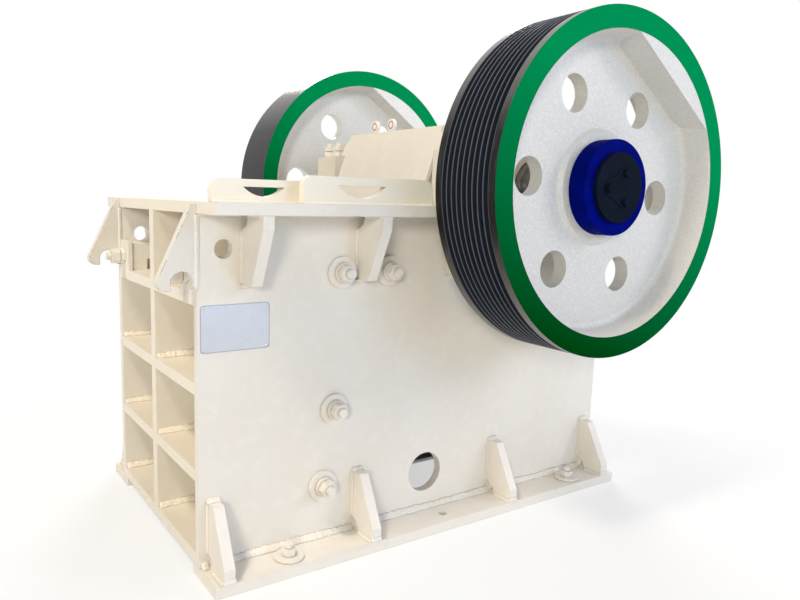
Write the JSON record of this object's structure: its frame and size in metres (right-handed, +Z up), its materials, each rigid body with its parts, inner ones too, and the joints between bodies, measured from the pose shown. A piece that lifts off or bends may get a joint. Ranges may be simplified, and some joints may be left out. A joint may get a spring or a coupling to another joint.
{
  "type": "jaw crusher",
  "caption": "Welded-frame jaw crusher with a ribbed feed end, toothed jaw plates, an eccentric shaft, a V-grooved drive sheave and a matching flywheel.",
  "frame": {"origin": "centre of the four outer foundation bolt holes, on the underside of the feet", "axes": "+X from the ribbed feed end to the rear, +Y across the machine from the grooved sheave to the flywheel, +Z up"},
  "size_m": [2.185, 1.9842, 2],
  "materials": {
    "frame_paint": "gloss cream enamel over welded steel plate",
    "bolt_paint": "cream enamel over hexagonal fasteners",
    "jaw_steel": "cast manganese steel",
    "cast_steel": "cream enamel over cast steel",
    "machined_steel": "turned",
    "spring_steel": "black enamel over spring wire",
    "wheel_iron": "painted cast iron: black rim, green face ring, pale grey web",
    "ring_blue": "semi-gloss blue enamel",
    "cap_black": "semi-gloss black enamel",
    "cap_plastic": "moulded"
  },
  "bodies": {
    "frame": {"near_side_plate": "frame_paint", "far_side_plate": "frame_paint", "foot_plates": "frame_paint", "top_flanges": "frame_paint", "front_top_plate": "frame_paint", "front_wall": "frame_paint", "front_bottom_plate": "frame_paint", "front_center_rib": "frame_paint", "front_cross_ribs": "frame_paint", "top_gussets": "frame_paint", "foot_gussets": "frame_paint", "hook_plates": "frame_paint", "sling_plates": "frame_paint", "near_bearing_housing": "frame_paint", "far_bearing_housing": "frame_paint", "housing_covers": "frame_paint", "rear_beam": "frame_paint", "wedge_brackets": "frame_paint", "cheek_bolts": "bolt_paint", "housing_bolts": "bolt_paint", "wedge_bolts": "bolt_paint", "cheek_plates": "jaw_steel", "fixed_jaw_plate": "jaw_steel", "toggle_plate": "cast_steel", "toggle_seat": "cast_steel", "adjusting_shims": "cast_steel", "tension_rod": "machined_steel", "tension_springs": "spring_steel", "spring_seats": "machined_steel"},
    "shaft": {"eccentric_shaft": "machined_steel", "grooved_sheave": "wheel_iron", "flywheel": "wheel_iron", "lock_rings": "ring_blue", "end_caps": "cap_black"},
    "swing_jaw": {"swing_jaw": "cast_steel", "moving_jaw_plate": "jaw_steel", "jaw_clamp_bar": "jaw_steel", "head_guard": "frame_paint", "jaw_bearing_covers": "machined_steel", "grease_caps": "cap_plastic"}
  },
  "joints": [
    {"name": "shaft_turn", "type": "hinge", "parent": "frame", "child": "shaft", "pos_m": [0.398, 0, 1.369], "axis": [0, 1, 0], "continuous": true},
    {"name": "jaw_swing", "type": "hinge", "parent": "shaft", "child": "swing_jaw", "pos_m": [0.38983, 0, 1.35642], "axis": [0, 1, 0], "continuous": true}
  ],
  "couplings": [
    {"joint": "jaw_swing", "follows": "shaft_turn", "ratio": -1}
  ]
}
